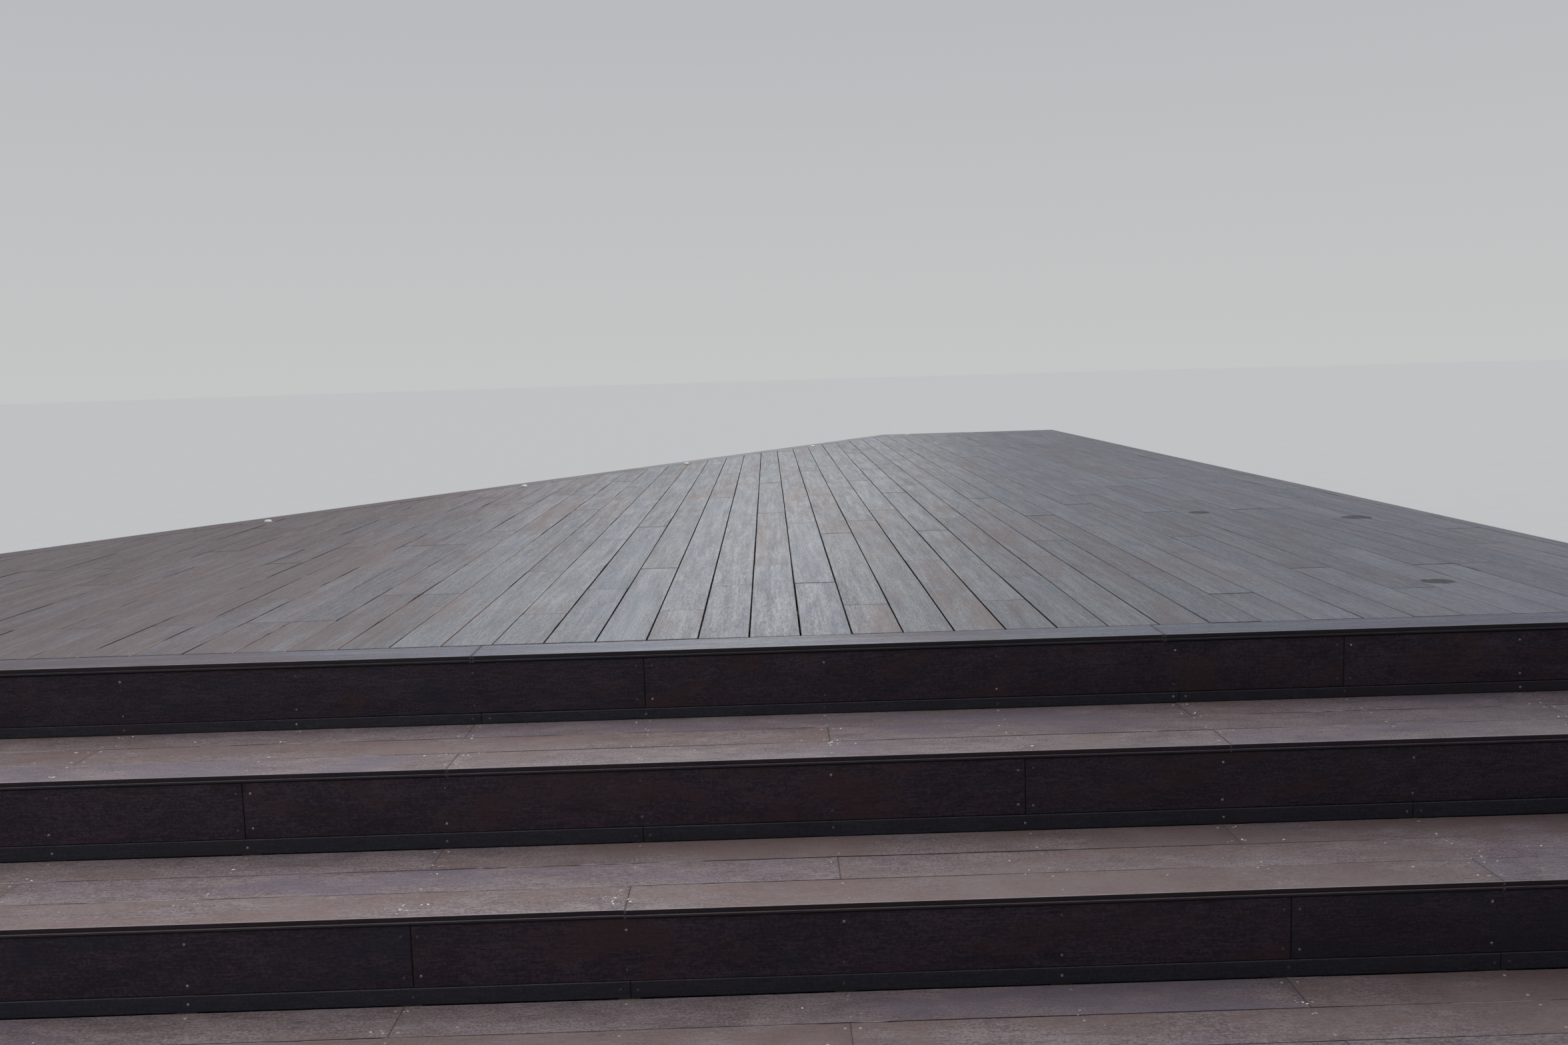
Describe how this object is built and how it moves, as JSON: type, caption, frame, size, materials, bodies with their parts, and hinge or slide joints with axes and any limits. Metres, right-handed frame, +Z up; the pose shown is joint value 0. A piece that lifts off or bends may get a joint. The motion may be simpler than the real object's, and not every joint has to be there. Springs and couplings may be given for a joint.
{
  "type": "wooden deck with full-width stairs",
  "caption": "Raised timber deck with a diagonal far side and a full-width flight of deep wooden steps with closed risers.",
  "frame": {"origin": "middle of the footprint at ground level", "axes": "+X along the steps, to the right of someone walking up; +Y from the steps into the deck; +Z up"},
  "size_m": [6.546, 12.136, 0.771],
  "materials": {
    "deck_board": "weathered, grey-brown, lengthwise grain",
    "tread_board": "worn, dusty brown, lengthwise grain",
    "riser_board": "dark stained brown, satin",
    "framing": "rough sawn treated softwood"
  },
  "bodies": {
    "root": {"stringers": "framing", "tread_1_front_boards": "tread_board", "tread_1_middle_boards": "tread_board", "tread_1_back_boards": "tread_board", "tread_2_front_boards": "tread_board", "tread_2_middle_boards": "tread_board", "tread_2_back_boards": "tread_board", "tread_3_front_boards": "tread_board", "tread_3_middle_boards": "tread_board", "tread_3_back_boards": "tread_board", "riser_1_boards": "riser_board", "riser_2_boards": "riser_board", "riser_3_boards": "riser_board", "riser_4_boards": "riser_board", "riser_1_strips": "riser_board", "riser_2_strips": "riser_board", "riser_3_strips": "riser_board", "riser_4_strips": "riser_board", "front_edge_boards": "deck_board", "left_edge_boards": "deck_board", "diagonal_edge_boards": "deck_board", "back_edge_boards": "deck_board", "deck_boards_1": "deck_board", "deck_boards_2": "deck_board", "deck_boards_3": "deck_board", "deck_boards_4": "deck_board", "deck_boards_5": "deck_board", "deck_boards_6": "deck_board", "front_rim_joist": "framing", "left_rim_joist": "framing", "diagonal_rim_joist": "framing", "back_rim_joist": "framing", "right_rim_joist": "framing", "joists": "framing", "bearers": "framing", "piles": "framing", "left_skirt_boards": "riser_board", "diagonal_skirt_boards": "riser_board", "back_skirt_boards": "riser_board", "right_skirt_boards": "riser_board", "left_end_panel": "riser_board", "right_end_panel": "riser_board"}
  },
  "joints": []
}
